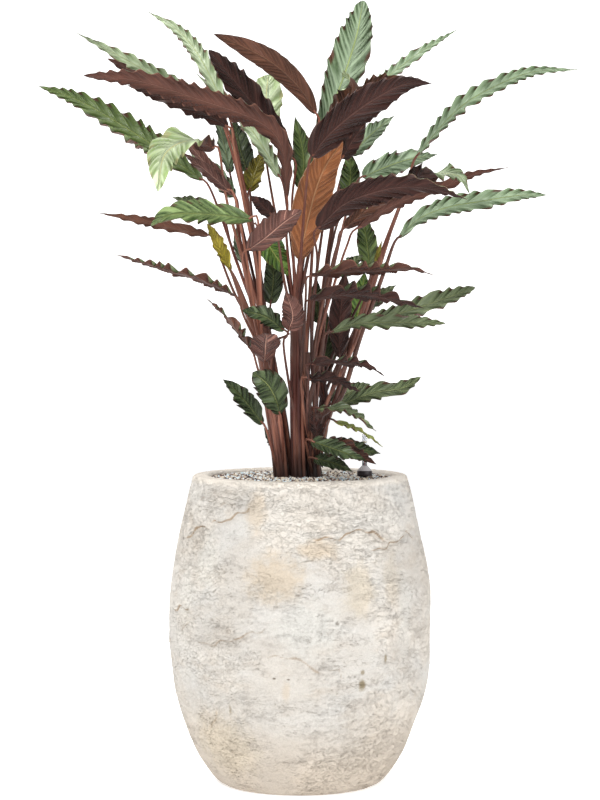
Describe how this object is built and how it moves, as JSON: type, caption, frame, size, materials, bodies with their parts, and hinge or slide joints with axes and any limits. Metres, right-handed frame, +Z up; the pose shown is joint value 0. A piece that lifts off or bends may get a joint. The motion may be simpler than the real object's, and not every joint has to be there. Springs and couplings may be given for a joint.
{
  "type": "potted plant",
  "caption": "Prayer-plant with long, narrow, wave-edged leaves on thin stalks, standing in a tall round stone-look planter.",
  "frame": {"origin": "middle of the planter's flat foot, on the planter's vertical axis", "axes": "+Z up out of the planter, -Y towards the front, +X to the right seen from the front"},
  "size_m": [0.7503, 0.4069, 1.102],
  "materials": {
    "pot": "matte",
    "mix": "matte",
    "granules": "matte",
    "clear": "gloss",
    "cone": "gloss",
    "collar": "satin",
    "float": "satin",
    "stalk": "satin",
    "leaf_green": "satin",
    "leaf_burgundy": "satin"
  },
  "bodies": {
    "root": {"pot": "pot", "potting_mix": "mix", "granules": "granules", "gauge_tube": "clear", "gauge_cone": "cone", "gauge_collar": "collar", "gauge_float": "float", "shoot_left_front": "stalk", "shoot_left_back": "stalk", "shoot_centre_front": "stalk", "shoot_centre_back": "stalk", "shoot_right_front": "stalk", "shoot_right_back": "stalk", "blade_far_left": "leaf_green", "blade_nodding": "leaf_green", "blade_long_left": "leaf_burgundy", "blade_brown_left": "leaf_burgundy", "blade_wavy_left": "leaf_green", "blade_brown_left_far": "leaf_burgundy", "blade_tall_left": "leaf_green", "blade_slim_left": "leaf_green", "blade_dark_left": "leaf_burgundy", "blade_arch_left": "leaf_burgundy", "blade_pale_middle": "leaf_green", "blade_tallest": "leaf_green", "blade_upright_centre": "leaf_green", "blade_broad_right": "leaf_burgundy", "blade_copper": "leaf_burgundy", "blade_high_right": "leaf_green", "blade_arching_right": "leaf_green", "blade_pointing_right": "leaf_green", "blade_pale_right": "leaf_green", "blade_turning_right": "leaf_burgundy", "blade_slender_right": "leaf_burgundy", "blade_dark_right": "leaf_burgundy", "blade_copper_right": "leaf_burgundy", "blade_long_right": "leaf_green", "blade_upright_right": "leaf_green", "blade_edge_right_upper": "leaf_burgundy", "blade_edge_right_lower": "leaf_burgundy", "blade_level_right": "leaf_green", "blade_straight_right": "leaf_green", "blade_dark_upright": "leaf_burgundy", "blade_striped_upright": "leaf_green", "blade_broad_left": "leaf_green", "blade_ribbed_centre": "leaf_burgundy", "blade_thin_left": "leaf_burgundy", "blade_yellowing": "leaf_green", "blade_edge_left_upper": "leaf_burgundy", "blade_edge_left_lower": "leaf_burgundy", "blade_ribbed_low": "leaf_burgundy", "blade_dark_left_middle": "leaf_green", "blade_rosy_centre": "leaf_burgundy", "blade_dark_centre": "leaf_green", "blade_drooping_centre": "leaf_green", "blade_low_left": "leaf_green", "blade_low_left_broad": "leaf_green", "blade_edge_low_right": "leaf_burgundy", "blade_low_right": "leaf_green", "blade_low_ruffled": "leaf_green"}
  },
  "joints": []
}
